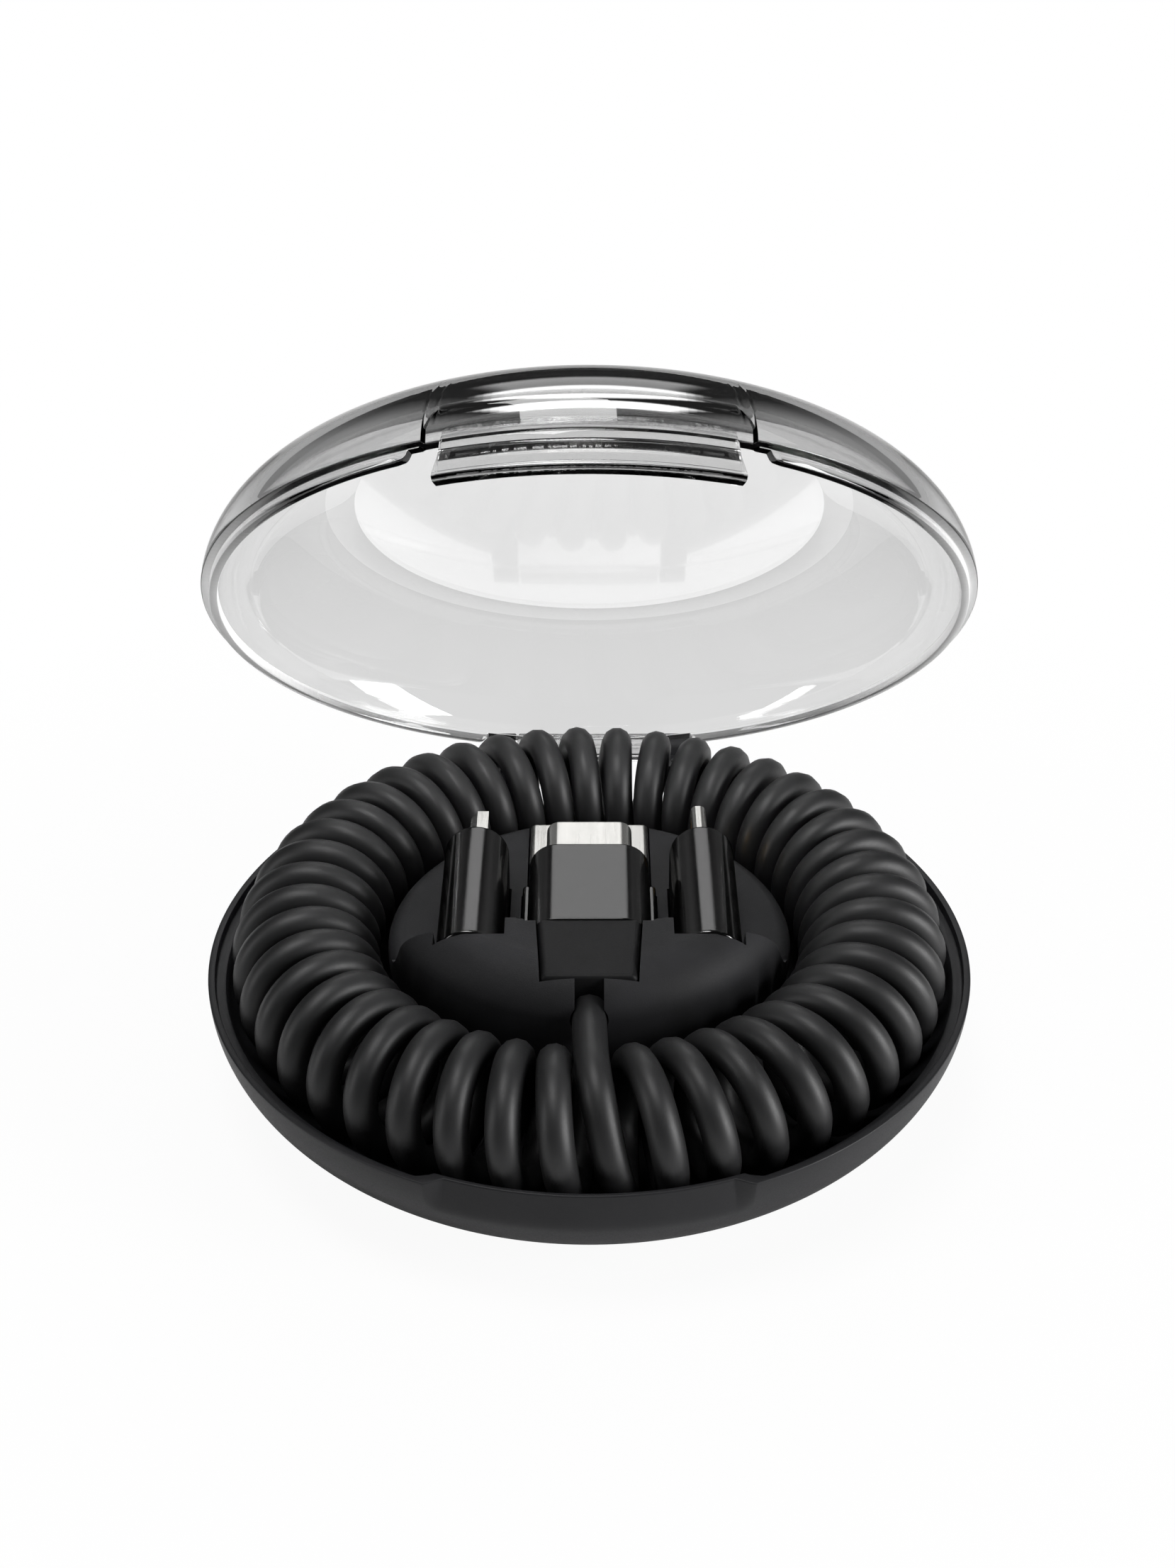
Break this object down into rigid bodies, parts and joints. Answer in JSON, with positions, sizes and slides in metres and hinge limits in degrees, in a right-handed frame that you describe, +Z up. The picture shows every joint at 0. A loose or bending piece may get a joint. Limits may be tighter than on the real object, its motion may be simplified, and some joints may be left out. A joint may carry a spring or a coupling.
{
  "type": "charging cable in case",
  "caption": "Round flip-open case with a clear hinged dome lid, holding a coiled charging cable with two plugs and two plug adapters in a central holder.",
  "frame": {"origin": "centre of the bowl's flat underside, on the surface it stands on", "axes": "+Z up, -Y to the latch at the front, +Y to the hinge at the back, +X to the right seen from the front"},
  "size_m": [0.073, 0.0764, 0.0714],
  "materials": {
    "satin_black": "satin moulded plastic",
    "clear": "polished clear plastic",
    "soft_black": "matt soft-touch plastic",
    "gloss_black": "polished black plastic",
    "steel": "bright nickel plate",
    "insulator": "matt moulded plastic",
    "contact": "gold plate",
    "cable": "matt soft-touch jacket"
  },
  "bodies": {
    "base": {"base_shell": "satin_black", "blade_contacts": "contact", "blade_housing": "gloss_black", "blade_socket_shell": "steel", "blade_socket_tongue": "insulator", "blade_tip": "steel", "cable_coil": "cable", "cable_lead_front": "cable", "cable_lead_rear": "cable", "connector_holder": "soft_black", "hinge_pin": "clear", "micro_b_housing": "gloss_black", "micro_b_insert": "insulator", "micro_b_shell": "steel", "micro_b_socket_shell": "steel", "micro_b_socket_tongue": "insulator", "type_a_contacts": "contact", "type_a_housing": "gloss_black", "type_a_shell": "steel", "type_a_tongue": "insulator", "type_c_boot": "soft_black", "type_c_contacts": "contact", "type_c_housing": "gloss_black", "type_c_insert": "insulator", "type_c_shell": "steel"},
    "lid": {"lid": "clear"}
  },
  "joints": [
    {"name": "lid_hinge", "type": "hinge", "parent": "base", "child": "lid", "pos_m": [0, 0.03748, 0.0119], "axis": [1, 0, 0], "range_deg": [-44, 50.9]}
  ]
}
